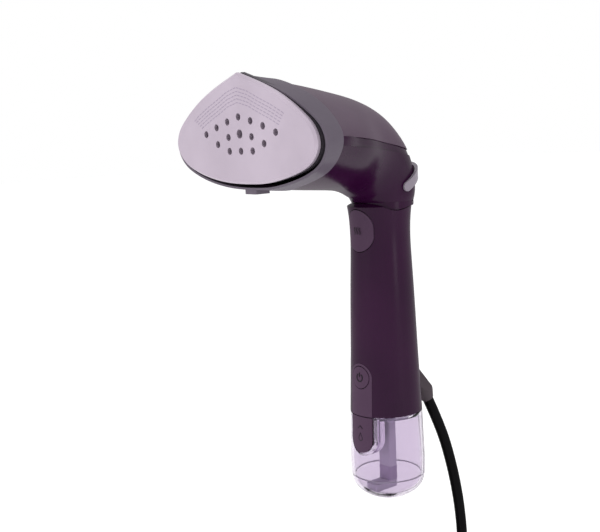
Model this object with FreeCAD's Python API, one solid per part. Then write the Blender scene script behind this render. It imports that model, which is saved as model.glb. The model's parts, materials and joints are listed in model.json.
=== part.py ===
import FreeCAD, Part
import math
import os

from FreeCAD import Placement, Rotation, Vector

os.makedirs("parts", exist_ok=True)

# Handheld garment steamer, held upright. Millimetres, +Z up along the handle.
# The origin is the middle of the hand grip on the handle's axis, and the steam plate faces -Y.

# ---- driving dimensions --------------------------------------------------------------------

# Handle: a round grip that widens towards the water tank. Pairs of height and radius.
HANDLE_PROFILE = [(-60.5, 21.6), (-41.0, 20.8), (-18.5, 19.9), (5.8, 19.1),
                  (29.8, 18.1), (46.5, 17.7), (62.6, 19.0)]
HANDLE_BOTTOM = -60.5
HANDLE_LIP = 62.6
HANDLE_TOP = 64.7
HANDLE_TOP_RADIUS = 16.4
HANDLE_WALL = 2.4
HANDLE_MOUTH_RADIUS = 12.5
MOUTH_LIP = 0.5
CAP_BASE = 57.0
SEAM_GAP = 0.15

# Hinge between the handle and the head: an axis along X.
HINGE_Y = 11.0
HINGE_Z = 70.0
KNUCKLE_CLEARANCE = 0.35
PIN_RADIUS = 2.0
PIN_CLEARANCE = 0.05

# Rounded lower part of the neck about the hinge axis: pairs of distance from the middle
# and radius about the axis.
KNUCKLE_PROFILE = [(0, 11.6), (6, 10.8), (10, 9.4), (13, 8.4), (16, 8.0), (19.5, 7.9)]

# Neck of the head where it meets the handle, and the lower edge (y, z) of its skirt.
NECK_CENTRE_Y = 2.75
NECK_BOTTOM = 65.0
SKIRT_RADIUS = 18.3
SKIRT_EDGE = [(-15.3, 65.2), (-11.0, 62.7), (-6.5, 60.9), (-3.0, 60.5),
              (1.8, 61.0), (6.5, 61.8), (11.0, 62.2)]
SHELL_WALL = 2.2

# Casing of the head, as sections from the plate end to the neck. Each has its underside
# point (y, z), its top point (y, z), the half width, how far down from the top the widest
# place is (0 to 1), and the exponent of the curve above that place.
HEAD_SECTIONS = [
    ((-79.7, 77.9), (-79.7, 135.3), 58.2, 0.54, 1.60),
    ((-61.0, 75.8), (-60.0, 132.0), 49.5, 0.54, 1.68),
    ((-44.0, 74.4), (-40.0, 128.2), 40.5, 0.55, 1.78),
    ((-33.5, 73.2), (-20.0, 123.2), 31.5, 0.56, 1.88),
    ((-28.0, 71.8), (-3.5, 115.6), 26.0, 0.56, 1.95),
    ((-23.8, 70.0), (8.5, 106.0), 22.6, 0.55, 2.00),
    ((-20.0, 67.9), (17.6, 94.6), 20.4, 0.54, 2.00),
    ((-17.6, 66.6), (21.9, 81.5), 19.3, 0.52, 2.00),
    ((-16.5, 65.6), (22.2, 72.5), 19.2, 0.50, 2.00),
    ((-15.75, 65.0), (20.9, 65.0), 18.4, 0.50, 2.00),
]
RING_ANGLES = [22.5 * step for step in range(16)]

# Band between the upper cover and the lower shell: pairs of y and z of its two edges.
BAND_UPPER = [(-84.0, 105.2), (-41.0, 101.9), (-9.0, 97.8), (26.0, 91.6)]
BAND_LOWER = [(-84.0, 100.9), (-41.0, 97.2), (-9.0, 93.9), (26.0, 87.9)]
BAND_RECESS = 0.7

# Steam plate, drawn in its own plane. Local X is across, local Y is up the plate,
# local Z is out of the plate's face.
PLATE_ORIGIN = Vector(0, -99.47, 116.76)
PLATE_ANGLE = 92.42
PLATE_HALF = [(0, 22.6), (17, 17.0), (36, 9.0), (50, 0.2), (58.2, -8.0), (60, -15.0),
              (56.5, -21.8), (46.0, -28.0), (26.0, -33.2), (0, -35.1)]
PLATE_CENTRE_V = -8.0
PLATE_HALF_WIDTH = 60.0
PLATE_FLANGE = 3.0
PLATE_BACK = 7.0
PLATE_BEVEL = 1.3
HOLE_RADIUS = 1.9
CENTRE_HOLE_RADIUS = 2.4
HOLES = [(0, 0), (10, -2.3), (20, -5.1), (30, -8.5),
         (10, -10.4), (20, -14.0), (10, -17.7), (0, -17.7)]
CENTRE_HOLE = (0, -8.8)

# Growths of the plate's outline at the sides, at the bottom and at the tip.
PLATE_EDGE = (0.0, 0.0, 0.0)
PLATE_CREST = (-1.3, -1.3, -1.3)
PLATE_ROOT = (-2.2, -2.2, -3.4)
RIM_OUTER = (4.0, 3.3, -0.4)
RIM_INNER = (2.8, 2.1, -1.3)
RIM_DEPTH = 3.7
SEAL_FRONT = 4.4
SEAL_BACK = 6.8
SEAL_ROOM = 0.1

# Rear edge of the bezel, in a plane of constant y.
BEZEL_REAR_Y = -80.0
BEZEL_REAR = ((BEZEL_REAR_Y, 77.0), (BEZEL_REAR_Y, 136.3), 59.0, 0.54, 1.60)
BEZEL_WALL = 2.0

# Controls on the front of the handle.
TRIGGER_Z = 48.9
TRIGGER_WIDTH = 19.5
TRIGGER_HEIGHT = 24.4
TRIGGER_PROUD = 0.3
TRIGGER_TRAVEL = 2.5
BUTTON_Z = -37.5
BUTTON_RADIUS = 6.5
BUTTON_TRAVEL = 1.0
STRIP_HALF_WIDTH = 8.3
STRIP_DEPTH = 1.5
CONTROL_GAP = 0.45
LATCH_BOTTOM = -83.0
LATCH_TRAVEL = 2.0
LATCH_THICKNESS = 2.6

# Release slider round the back of the neck.
SLIDER_LOW = (3.2, 73.4)
SLIDER_HIGH = (26.5, 84.8)
SLIDER_HALF_HEIGHT = 2.7
SLIDER_RADIUS = 20.8
SLIDER_CENTRE_Y = 3.4
SLIDER_WALL = 1.9
SLIDER_TRAVEL = 2.5

# Water tank.
TANK_TOP = -60.9
TANK_PROFILE = [(-60.9, 21.6), (-71.0, 21.9), (-84.0, 22.3), (-97.0, 22.3)]
TANK_CORNERS = [(-105.5, 20.6, 0.5, 0.9), (-111.6, 14.2, 0.9, 0.5)]
TANK_FLOOR = -115.4
TANK_WALL = 1.8
TANK_NECK_RADIUS = 15.0
TANK_NECK_TOP = -54.6

# Mains lead, in the frame of the steamer. The lead hangs from the guard to the surface
# below, and the rest is wound into a coil there.
CORD_RADIUS = 3.4
LYING_Z = -205.0
TIE_THICKNESS = 1.0
CORD_LIE = LYING_Z + CORD_RADIUS + TIE_THICKNESS + 0.1
CORD_DROP_ROUTE = [
    Vector(0, 36.2, -61.8),
    Vector(0, 47.8, -83.4),
    Vector(0, 56.0, -106.6),
    Vector(0, 61.8, -129.2),
    Vector(0, 65.0, -150.0),
    Vector(0, 66.0, -168.5),
    Vector(0, 60.4, -183.2),
    Vector(0, 49.2, -194.4),
    Vector(0, 34.5, CORD_LIE),
    Vector(-0.3, 18.0, CORD_LIE),
    Vector(-1.2, 2.0, CORD_LIE),
]
CORD_TAIL_ROUTE = [
    Vector(-45.8, -44.6, LYING_Z + 18.3),
    Vector(-62.0, -45.3, LYING_Z + 17.7),
    Vector(-79.0, -48.0, LYING_Z + 13.5),
    Vector(-92.5, -52.0, LYING_Z + 11.4),
    Vector(-104.5, -56.5, LYING_Z + 13.4),
]
PIN_SPACING = 19.0
PLUG_PIN_RADIUS = 2.4
PLUG_PIN_LENGTH = 19.0
PIN_ROOT_RADIUS = 1.8
PIN_ROOT_DEPTH = 6.0
PIN_SHOULDER = 0.3
COIL_CENTRE = Vector(-45.8, 0.0, 0.0)
COIL_INNER_RADIUS = 27.0
COIL_OUTER_RADIUS = 48.0
COIL_HEIGHT = 20.6
TIE_WIDTH = 10.0


# ---- general helpers -----------------------------------------------------------------------

def save(name, shape):
    """Write one node, after checking that it is one or more sound solids."""
    shape = shape.removeSplitter() if shape.ShapeType != "Compound" else shape
    assert shape.isValid(), name
    assert shape.Volume > 0, name
    print(f"{name:22s} solids {len(shape.Solids)}  volume {shape.Volume:10.1f}")
    shape.exportStep(f"parts/{name}.step")


def box(x0, x1, y0, y1, z0, z1):
    return Part.makeBox(x1 - x0, y1 - y0, z1 - z0, Vector(x0, y0, z0))


def rod(radius, start, end):
    axis = end - start
    return Part.makeCylinder(radius, axis.Length, start, axis)


def pipe(outer, inner, start, end):
    return rod(outer, start, end).cut(rod(inner, start, end))


def spline(points, first=None, last=None):
    curve = Part.BSplineCurve()
    if first is None:
        curve.interpolate(points)
    else:
        curve.interpolate(Points=points, InitialTangent=first, FinalTangent=last)
    return curve.toShape()


def turned(profile):
    """Solid of revolution about Z from (height, radius) pairs, bottom first."""
    side = spline([Vector(r, 0, z) for z, r in profile])
    low, high = profile[0], profile[-1]
    edges = [Part.makeLine(Vector(0, 0, low[0]), Vector(low[1], 0, low[0])), side,
             Part.makeLine(Vector(high[1], 0, high[0]), Vector(0, 0, high[0])),
             Part.makeLine(Vector(0, 0, high[0]), Vector(0, 0, low[0]))]
    return Part.Face(Part.Wire(edges)).revolve(Vector(), Vector(0, 0, 1), 360)


def handle_form(growth):
    """The round form of the handle, thicker or thinner by growth."""
    return turned([(z, r + growth) for z, r in HANDLE_PROFILE])


def handle_radius(z):
    """Radius of the handle at height z, between the profile's own heights."""
    for (z0, r0), (z1, r1) in zip(HANDLE_PROFILE, HANDLE_PROFILE[1:]):
        if z0 <= z <= z1:
            return r0 + (r1 - r0) * (z - z0) / (z1 - z0)
    return HANDLE_PROFILE[0][1]


def pill_face(half_width, z_low, z_high, y):
    """Upright face with round ends, in a plane of constant y."""
    low, high = z_low + half_width, z_high - half_width
    left, right = -half_width, half_width
    edges = [Part.makeLine(Vector(right, y, low), Vector(right, y, high)),
             Part.Arc(Vector(right, y, high), Vector(0, y, z_high), Vector(left, y, high)).toShape(),
             Part.makeLine(Vector(left, y, high), Vector(left, y, low)),
             Part.Arc(Vector(left, y, low), Vector(0, y, z_low), Vector(right, y, low)).toShape()]
    return Part.Face(Part.Wire(edges))


def pill_prism(half_width, z_low, z_high, y_from, y_to):
    return pill_face(half_width, z_low, z_high, y_from).extrude(Vector(0, y_to - y_from, 0))


def arched_prism(half_width, z_low, z_high, y_from, y_to):
    """Prism with a square lower end and a round upper end."""
    return pill_prism(half_width, z_low - 2 * half_width, z_high, y_from, y_to).cut(
        box(-2 * half_width, 2 * half_width, y_from - 1, y_to + 1, z_low - 60, z_low))


def hanging_prism(half_width, z_low, z_high, y_from, y_to):
    """Prism with a round lower end and a square upper end."""
    return pill_prism(half_width, z_low, z_high + 2 * half_width, y_from, y_to).cut(
        box(-2 * half_width, 2 * half_width, y_from - 1, y_to + 1, z_high, z_high + 60))


# ---- head casing ---------------------------------------------------------------------------

def section_ring(section, inset, shift=Vector()):
    """Sixteen points round one casing section, pulled in by inset."""
    (y_low, z_low), (y_top, z_top), half_width, widest, power = section
    low, top = Vector(0, y_low, z_low), Vector(0, y_top, z_top)
    up = (top - low).normalize()
    height = (top - low).Length - 2 * inset
    above, below = height * widest, height * (1 - widest)
    middle = low + up * (inset + below)
    width = half_width - inset
    ring = []
    for angle in RING_ANGLES:
        across, rise = math.cos(math.radians(angle)), math.sin(math.radians(angle))
        flare = 2 / power if rise > 0.01 else 1
        reach = width * math.copysign(abs(across) ** flare, across)
        lift = above * rise ** flare if rise > 0.01 else below * rise
        ring.append(middle + up * lift + Vector(reach, 0, 0) + shift)
    return ring


def ring_poles(points):
    """Poles of the closed even cubic curve through the points."""
    poles = list(points)
    count = len(poles)
    for _ in range(40):
        smooth = [(poles[i - 1] + poles[i] * 4 + poles[(i + 1) % count]) * (1 / 6) for i in range(count)]
        poles = [poles[i] + points[i] - smooth[i] for i in range(count)]
    return poles


def skinned(rings):
    """Closed solid through rings of points, with flat ends."""
    spans = []
    for near, far in zip(rings, rings[1:]):
        spans.append(sum(a.distanceToPoint(b) for a, b in zip(near, far)) / len(near))
    parameters = [sum(spans[:i]) for i in range(len(rings))]
    grid = []
    for column in zip(*[ring_poles(ring) for ring in rings]):
        curve = Part.BSplineCurve()
        curve.interpolate(Points=list(column), Parameters=parameters)
        grid.append(curve.getPoles())
    surface = Part.BSplineSurface()
    surface.buildFromPolesMultsKnots(grid, [1] * (len(grid) + 1), curve.getMultiplicities(),
                                     [float(i) for i in range(len(grid) + 1)], curve.getKnots(),
                                     True, False, 3, curve.Degree)
    side = surface.toShape()
    ends = [Part.Face(Part.Wire([edge])) for edge in side.Edges if edge.isClosed()]
    skin = Part.Compound([side] + ends)
    skin.sewShape()
    solid = Part.Solid(skin.Shells[0])
    return solid if solid.Volume > 0 else solid.reversed()


def casing_form(inset):
    """Solid form of the head casing, without the skirt and the knuckle."""
    rings = [section_ring(section, inset) for section in HEAD_SECTIONS]
    if inset > 0:
        rings.insert(0, section_ring(HEAD_SECTIONS[0], inset, Vector(0, -4, 0)))
        rings.append(section_ring(HEAD_SECTIONS[-1], inset, Vector(0, 0, -2)))
    return skinned(rings)


def about_hinge(profile, growth):
    """Solid turned about the hinge axis from pairs of distance from the middle and radius."""
    both = [(-x, r) for x, r in reversed(profile[1:])] + list(profile)
    side = spline([Vector(x, HINGE_Y + r + growth, HINGE_Z) for x, r in both])
    reach = profile[-1][0]
    ends = [Vector(-reach, HINGE_Y, HINGE_Z), Vector(reach, HINGE_Y, HINGE_Z)]
    edge_radius = profile[-1][1] + growth
    edges = [side, Part.makeLine(ends[1] + Vector(0, edge_radius, 0), ends[1]),
             Part.makeLine(ends[1], ends[0]), Part.makeLine(ends[0], ends[0] + Vector(0, edge_radius, 0))]
    return Part.Face(Part.Wire(edges)).revolve(ends[0], Vector(1, 0, 0), 360)


def skirt_prism(drop):
    """Everything above the skirt's lower edge, up to the head, right across the neck."""
    edge = spline([Vector(-40, y, z - drop) for y, z in SKIRT_EDGE])
    front, back = edge.valueAt(edge.FirstParameter), edge.valueAt(edge.LastParameter)
    top = NECK_BOTTOM + 1.2
    corners = [back, Vector(-40, back.y, top), Vector(-40, front.y, top), front]
    sides = [Part.makeLine(start, end) for start, end in zip(corners, corners[1:])]
    return Part.Face(Part.Wire([edge] + sides)).extrude(Vector(80, 0, 0))


def neck_column(radius, low, high):
    return Part.makeCylinder(radius, high - low, Vector(0, NECK_CENTRE_Y, low))


def sheet_prism(upper, lower):
    """Everything between two curves of (y, z), right across the head."""
    wide = 80
    high = spline([Vector(-wide, y, z) for y, z in upper])
    low = spline([Vector(-wide, y, z) for y, z in lower])
    front = Part.makeLine(low.valueAt(low.FirstParameter), high.valueAt(high.FirstParameter))
    back = Part.makeLine(low.valueAt(low.LastParameter), high.valueAt(high.LastParameter))
    face = Part.Face(Part.Wire(Part.__sortEdges__([high, front, low, back])))
    return face.extrude(Vector(2 * wide, 0, 0))


def neck_skirt():
    """The wall below the casing, and the knuckle that closes it at the back."""
    wall = neck_column(SKIRT_RADIUS, 50, 80).cut(neck_column(SKIRT_RADIUS - SHELL_WALL, 40, 90))
    skirt = wall.common(skirt_prism(0))
    knuckle = about_hinge(KNUCKLE_PROFILE, 0).cut(about_hinge(KNUCKLE_PROFILE, -SHELL_WALL))
    knuckle = knuckle.common(neck_column(SKIRT_RADIUS - 0.1, 50, NECK_BOTTOM + 2.0))
    knuckle = knuckle.common(box(-40, 40, HINGE_Y - 3.0, 60, 50, 80))
    return skirt, knuckle


def head_shells():
    outer = casing_form(0)
    inner = casing_form(SHELL_WALL)
    shell = outer.cut(inner)
    roof = [(y, z + 90) for y, z in BAND_UPPER]
    cellar = [(y, z - 90) for y, z in BAND_LOWER]
    upper = shell.common(sheet_prism(roof, BAND_UPPER))
    lower = shell.common(sheet_prism(BAND_LOWER, cellar))
    for piece in neck_skirt():
        lower = lower.fuse(piece)
    band = casing_form(BAND_RECESS).cut(inner).common(sheet_prism(BAND_UPPER, BAND_LOWER))
    band = band.common(box(-100, 100, HEAD_SECTIONS[0][0][0], 60, 50, 150))
    return upper, lower, band


# ---- plate stack ---------------------------------------------------------------------------

PLATE_FRAME = Placement(PLATE_ORIGIN, Rotation(Vector(1, 0, 0), PLATE_ANGLE))


def plate_wire(growth, depth):
    """The plate's outline grown at its sides, bottom and tip, at a depth behind the face."""
    side, bottom, tip = growth
    wide = (PLATE_HALF_WIDTH + side) / PLATE_HALF_WIDTH
    rise = (PLATE_HALF[0][1] - PLATE_CENTRE_V + tip) / (PLATE_HALF[0][1] - PLATE_CENTRE_V)
    fall = (PLATE_CENTRE_V - PLATE_HALF[-1][1] + bottom) / (PLATE_CENTRE_V - PLATE_HALF[-1][1])
    right = []
    for x, v in PLATE_HALF:
        away = v - PLATE_CENTRE_V
        right.append(Vector(x * wide, PLATE_CENTRE_V + away * (rise if away > 0 else fall), -depth))
    left = [Vector(-p.x, p.y, p.z) for p in reversed(right)]
    slope = (right[1] - right[0]).normalize()
    mirrored = Vector(-slope.x, slope.y, 0)
    across = Vector(1, 0, 0)
    return Part.Wire([spline(right, slope, across * -1), spline(left, across * -1, mirrored * -1)])


def plate_block(growth_front, depth_front, growth_back, depth_back):
    return Part.makeLoft([plate_wire(growth_front, depth_front), plate_wire(growth_back, depth_back)],
                         True, True)


def even_block(growth_front, depth_front, growth_back, depth_back):
    return plate_block([growth_front] * 3, depth_front, [growth_back] * 3, depth_back)


def placed(shape):
    shape = shape.copy()
    shape.Placement = PLATE_FRAME.multiply(shape.Placement)
    return shape


def local_rod(radius, x, v, depth_front, depth_back):
    return Part.makeCylinder(radius, depth_back - depth_front, Vector(x, v, -depth_back))


def steam_holes():
    cutters = [local_rod(CENTRE_HOLE_RADIUS, *CENTRE_HOLE, -1, 20)]
    for x, v in HOLES:
        for side in ((1,) if x == 0 else (1, -1)):
            cutters.append(local_rod(HOLE_RADIUS, side * x, v, -1, 20))
    return cutters


def make_plate():
    crown = plate_block(PLATE_CREST, 0, PLATE_EDGE, PLATE_BEVEL)
    slab = plate_block(PLATE_EDGE, PLATE_BEVEL, PLATE_EDGE, PLATE_FLANGE)
    root = plate_block(PLATE_ROOT, PLATE_FLANGE, PLATE_ROOT, PLATE_BACK)
    plate = crown.fuse(slab).fuse(root)
    for hole in steam_holes():
        plate = plate.cut(hole)
    return placed(plate)


def casing_section_wire(inset, shift):
    """Two-part outline of the bezel's rear edge, which meets the casing."""
    ring = section_ring(BEZEL_REAR, inset, Vector(0, shift, 0))
    top, bottom = 4, 12
    right = ring[top::-1] + ring[:bottom - 1:-1]
    left = [Vector(-p.x, p.y, p.z) for p in reversed(right)]
    across = Vector(1, 0, 0)
    return Part.Wire([spline(right, across, across * -1), spline(left, across * -1, across)])


def framed_wire(growth, depth):
    wire = plate_wire(growth, depth)
    wire.Placement = PLATE_FRAME
    return wire


def make_bezel():
    form = Part.makeLoft([framed_wire(RIM_OUTER, RIM_DEPTH), casing_section_wire(0, 0)], True, True)
    hollow = Part.makeLoft([framed_wire(RIM_INNER, RIM_DEPTH - 1), casing_section_wire(BEZEL_WALL, 1)],
                           True, True)
    tab = box(-5.0, 5.0, -94.0, -84.5, 76.2, 80.0)
    tab = tab.makeFillet(1.0, [e for e in tab.Edges if e.BoundBox.XLength < 0.01
                               and e.BoundBox.YLength < 0.01])
    return form.fuse(tab).cut(hollow)


def make_chamber():
    body = even_block(-5.5, PLATE_BACK + 0.05, -7.0, 13.5)
    pocket = even_block(-12, PLATE_BACK, -12, 10.0)
    lands = Part.makeCompound([local_rod(3.2, x, v, PLATE_BACK + 0.05, 10.5)
                               for x, v in ((-38, -16), (38, -16), (0, -24), (0, 8))])
    return body.cut(pocket).fuse(lands)


def heater_path(depth):
    """U of straight legs and a half circle, in local coordinates."""
    radius, leg = 11.0, 34.0
    y = -14.0
    edges = [Part.makeLine(Vector(leg, y - radius + 3, -depth), Vector(-leg + 8, y - radius + 3, -depth)),
             Part.Arc(Vector(-leg + 8, y - radius + 3, -depth), Vector(-leg + 8 - radius, y + 3, -depth),
                      Vector(-leg + 8, y + radius + 3, -depth)).toShape(),
             Part.makeLine(Vector(-leg + 8, y + radius + 3, -depth), Vector(leg, y + radius + 3, -depth))]
    return Part.Wire(edges)


def make_heater(radius, depth):
    path = heater_path(depth)
    start = path.Edges[0].valueAt(path.Edges[0].FirstParameter)
    section = Part.Wire(Part.Circle(start, Vector(1, 0, 0), radius).toShape())
    return path.makePipeShell([section], True, True)


print("steamer pieces")
head_upper, head_lower, head_band = head_shells()

plate = make_plate()
bezel = make_bezel()
seal_inner = [side + 0.1 for side in PLATE_ROOT]
seal_ring = plate_block(PLATE_EDGE, SEAL_FRONT, PLATE_EDGE, SEAL_BACK).cut(
    plate_block(seal_inner, 0, seal_inner, 20))
plate_seal = placed(seal_ring)
groove_edge = [side + SEAL_ROOM for side in PLATE_EDGE]
bezel = bezel.cut(placed(plate_block(groove_edge, SEAL_FRONT - SEAL_ROOM,
                                     groove_edge, SEAL_BACK + SEAL_ROOM)))

heater_depth = 13.5
heater_radius = 3.2
chamber = make_chamber()
heater = make_heater(heater_radius, heater_depth)
heater_room = make_heater(heater_radius + 0.05, heater_depth)
cover_back = 19.5
chamber_cover = even_block(-7.2, 13.55, -9.0, cover_back)
chamber = chamber.cut(heater_room)
chamber_cover = chamber_cover.cut(heater_room)
terminals = Part.makeCompound([local_rod(1.6, 33.0, -22, heater_depth, 25.5),
                               local_rod(1.6, 33.0, 0, heater_depth, 25.5)])
terminal_holes = Part.makeCompound([local_rod(2.4, 33.0, -22, heater_depth, 25.5),
                                    local_rod(2.4, 33.0, 0, heater_depth, 25.5)])
chamber_cover = chamber_cover.cut(terminal_holes)
heater = heater.fuse(terminals)

inlet = (0, -4)
inlet_nozzle = local_rod(3.0, *inlet, cover_back - 0.5, cover_back + 7)
chamber_cover = chamber_cover.fuse(inlet_nozzle).cut(local_rod(1.6, *inlet, 12, 30))

screw_spots = [(-45, -14), (45, -14), (-13, 5.2), (13, 5.2)]
screws = []
for x, v in screw_spots:
    shank_hole = local_rod(1.55, x, v, 9.0, 30)
    chamber = chamber.cut(shank_hole)
    chamber_cover = chamber_cover.cut(shank_hole)
    screw = local_rod(1.5, x, v, 9.5, cover_back + 0.05).fuse(
        local_rod(2.8, x, v, cover_back + 0.05, cover_back + 2.2))
    slot = Part.makeBox(0.8, 4.0, 1.0, Vector(x - 0.4, v - 2.0, -cover_back - 2.2))
    screws.append(screw.cut(slot))

thermostat = local_rod(6.5, 14, -14, cover_back + 0.05, cover_back + 6.0)
for blade_v in (-17.5, -10.5):
    thermostat = thermostat.fuse(
        Part.makeBox(4.0, 0.8, 5.5, Vector(12, blade_v - 0.4, -cover_back - 11.0)))
fuse_body = Part.makeCylinder(2.1, 14, Vector(-27, -14, -cover_back - 2.2), Vector(1, 0, 0)).fuse(
    Part.makeCylinder(0.6, 22, Vector(-31, -14, -cover_back - 2.2), Vector(1, 0, 0)))

shield_front = cover_back + 12.0
heat_shield = even_block(-14.0, shield_front, -15.0, shield_front + 2.0)
heat_shield = heat_shield.cut(local_rod(5.0, *inlet, 20, 50))
heat_shield = heat_shield.cut(local_rod(7.5, 33, -11, 20, 50))

save("steam_plate", plate)
save("plate_seal", plate_seal)
save("bezel", bezel)
save("steam_chamber", placed(chamber))
save("chamber_cover", placed(chamber_cover))
save("heating_element", placed(heater))
save("chamber_screws", placed(Part.makeCompound(screws)))
save("thermostat", placed(thermostat))
save("thermal_fuse", placed(fuse_body))
save("heat_shield", placed(heat_shield))


# ---- hinge, slider and the rest of the head ------------------------------------------------

def hinge_rod(radius, x0, x1):
    return rod(radius, Vector(x0, HINGE_Y, HINGE_Z), Vector(x1, HINGE_Y, HINGE_Z))


def mirrored(shape):
    return shape.mirror(Vector(), Vector(1, 0, 0))


BOSS_INNER = 12.2
BOSS_RADIUS = 5.0
PIN_REACH = 15.2
ARM_INNER = 9.0
ARM_OUTER = 11.8
ARM_EYE = 4.6

boss_reach = casing_form(0.6).common(hinge_rod(BOSS_RADIUS, BOSS_INNER, 30))
head_lower = head_lower.fuse(boss_reach).fuse(mirrored(boss_reach))
head_lower = head_lower.cut(hinge_rod(PIN_RADIUS + PIN_CLEARANCE, -PIN_REACH - 0.3, PIN_REACH + 0.3))
eye_room = hinge_rod(ARM_EYE + 0.4, ARM_INNER - 0.5, BOSS_INNER)
head_lower = head_lower.cut(eye_room).cut(mirrored(eye_room))

slider_angle = math.atan2(SLIDER_HIGH[1] - SLIDER_LOW[1], SLIDER_HIGH[0] - SLIDER_LOW[0])
along = Vector(0, math.cos(slider_angle), math.sin(slider_angle))
normal = Vector(0, -math.sin(slider_angle), math.cos(slider_angle))
low_end = Vector(0, *SLIDER_LOW)
high_end = Vector(0, *SLIDER_HIGH)


def slanted_pill(half_height, start, end, x0, x1):
    """Prism along X whose side view is a pill from start to end."""
    a, b = start + normal * half_height, end + normal * half_height
    c, d = end - normal * half_height, start - normal * half_height
    edges = [Part.makeLine(a, b), Part.Arc(b, end + along * half_height, c).toShape(),
             Part.makeLine(c, d), Part.Arc(d, start - along * half_height, a).toShape()]
    face = Part.Face(Part.Wire(edges))
    face.translate(Vector(x0, 0, 0))
    return face.extrude(Vector(x1 - x0, 0, 0))


slider_ring = pipe(SLIDER_RADIUS, SLIDER_RADIUS - SLIDER_WALL,
                   Vector(0, SLIDER_CENTRE_Y, 60), Vector(0, SLIDER_CENTRE_Y, 100))
slider = slider_ring.common(slanted_pill(SLIDER_HALF_HEIGHT, low_end, high_end, -40, 40))
slider = slider.cut(casing_form(-0.3))
GUIDE_RADIUS = 1.5
guide_at = low_end + along * 1.2
guide = rod(GUIDE_RADIUS, guide_at + Vector(14.0, 0, 0), guide_at + Vector(SLIDER_RADIUS - 1.0, 0, 0))
slider = slider.fuse(guide).fuse(mirrored(guide))
slot = slanted_pill(GUIDE_RADIUS + 0.3, guide_at, guide_at + along * SLIDER_TRAVEL, 10, 30)
head_lower = head_lower.cut(slot).cut(mirrored(slot))

tube_route = [Vector(0, -72.6, 113.9), Vector(0, -50, 114.8), Vector(0, -20, 106), Vector(0, 0, 92),
              Vector(0, 3.5, 78.5)]


def bent_tube(route, radius, bore=0.0, report=""):
    """Tube along straight runs joined by tangent arcs as large as the runs allow."""
    edges, radii = [], []
    here = route[0]
    for before, corner, after in zip(route, route[1:], route[2:]):
        into, out = (corner - before), (after - corner)
        shorter = min(into.Length, out.Length)
        into, out = into.normalize(), out.normalize()
        turn = into.getAngle(out)
        reach = 0.45 * shorter
        radii.append(reach / math.tan(turn / 2))
        first, last = corner - into * reach, corner + out * reach
        bisector = (out - into).normalize()
        centre = corner + bisector * (radii[-1] / math.cos(turn / 2))
        middle = centre - bisector * radii[-1]
        edges.append(Part.makeLine(here, first))
        edges.append(Part.Arc(first, middle, last).toShape())
        here = last
    edges.append(Part.makeLine(here, route[-1]))
    path = Part.Wire(edges)
    direction = (route[1] - route[0]).normalize()
    body = sweep(path, route[0], direction, radius)
    if bore:
        body = body.cut(sweep(path, route[0], direction, bore))
    if report:
        ideal = math.pi * radius ** 2 * path.Length
        print(f"{report}: length {path.Length:.1f}, volume ratio {body.Volume / ideal:.4f}")
        print("  radii", [round(r) for r in radii])
    return body


def sweep(path, start, direction, radius):
    section = Part.Wire(Part.Circle(start, direction, radius).toShape())
    return path.makePipeShell([section], True, False)


head_steam_tube = bent_tube(tube_route, 3.0, 1.7)

save("head_upper_cover", head_upper)
save("head_lower_shell", head_lower)
save("head_seam_band", head_band)
save("release_slider", slider)
save("head_steam_tube", head_steam_tube)


# ---- handle --------------------------------------------------------------------------------

def handle_shell():
    outer = handle_form(0)
    inner = turned([(z, r - HANDLE_WALL) for z, r in HANDLE_PROFILE])
    rim = Vector(handle_radius(HANDLE_LIP), 0, HANDLE_LIP)
    cap_profile = [Vector(0, 0, CAP_BASE), Vector(HANDLE_TOP_RADIUS + 0.5, 0, CAP_BASE), rim,
                   Vector(HANDLE_TOP_RADIUS, 0, HANDLE_TOP), Vector(0, 0, HANDLE_TOP)]
    cap = Part.Face(Part.makePolygon(cap_profile + cap_profile[:1])).revolve(
        Vector(), Vector(0, 0, 1), 360)
    shell = outer.cut(inner).fuse(cap)
    shell = shell.cut(Part.makeCylinder(HANDLE_MOUTH_RADIUS, 20, Vector(0, 0, CAP_BASE - 3)))
    mouth = Part.makeCylinder(HANDLE_MOUTH_RADIUS + MOUTH_LIP, 20, Vector(0, 0, CAP_BASE - 3))
    shell = shell.cut(skirt_prism(KNUCKLE_CLEARANCE).cut(mouth))
    return shell.cut(about_hinge(KNUCKLE_PROFILE, KNUCKLE_CLEARANCE))


housing = handle_shell()

trigger_low = TRIGGER_Z - TRIGGER_HEIGHT / 2
trigger_high = TRIGGER_Z + TRIGGER_HEIGHT / 2
trigger_half = TRIGGER_WIDTH / 2
front_y = -30.0

trigger_opening = pill_prism(trigger_half + CONTROL_GAP, trigger_low - CONTROL_GAP,
                             trigger_high + CONTROL_GAP, front_y, 0)
strip_opening = arched_prism(STRIP_HALF_WIDTH + SEAM_GAP, HANDLE_BOTTOM - 1,
                             BUTTON_Z + STRIP_HALF_WIDTH + SEAM_GAP, front_y, 0)
strip_pocket = strip_opening.cut(handle_form(-STRIP_DEPTH - SEAM_GAP))
button_hole = rod(BUTTON_RADIUS + CONTROL_GAP, Vector(0, front_y, BUTTON_Z), Vector(0, 0, BUTTON_Z))
housing = housing.cut(trigger_opening).cut(strip_pocket).cut(button_hole)

strip = handle_form(0.15).cut(handle_form(-STRIP_DEPTH)).common(
    arched_prism(STRIP_HALF_WIDTH, HANDLE_BOTTOM, BUTTON_Z + STRIP_HALF_WIDTH, front_y, 0))
strip = strip.cut(button_hole)

trigger_radius = handle_radius(TRIGGER_Z)
trigger_skin = handle_form(TRIGGER_PROUD).cut(handle_form(-HANDLE_WALL))
trigger = trigger_skin.common(pill_prism(trigger_half, trigger_low, trigger_high, front_y, 0))
stem_y = -trigger_radius + HANDLE_WALL + 4.0
trigger_stem = rod(2.2, Vector(0, -trigger_radius + 1.0, TRIGGER_Z - 4), Vector(0, stem_y, TRIGGER_Z - 4))
trigger = trigger.fuse(trigger_stem)

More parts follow.
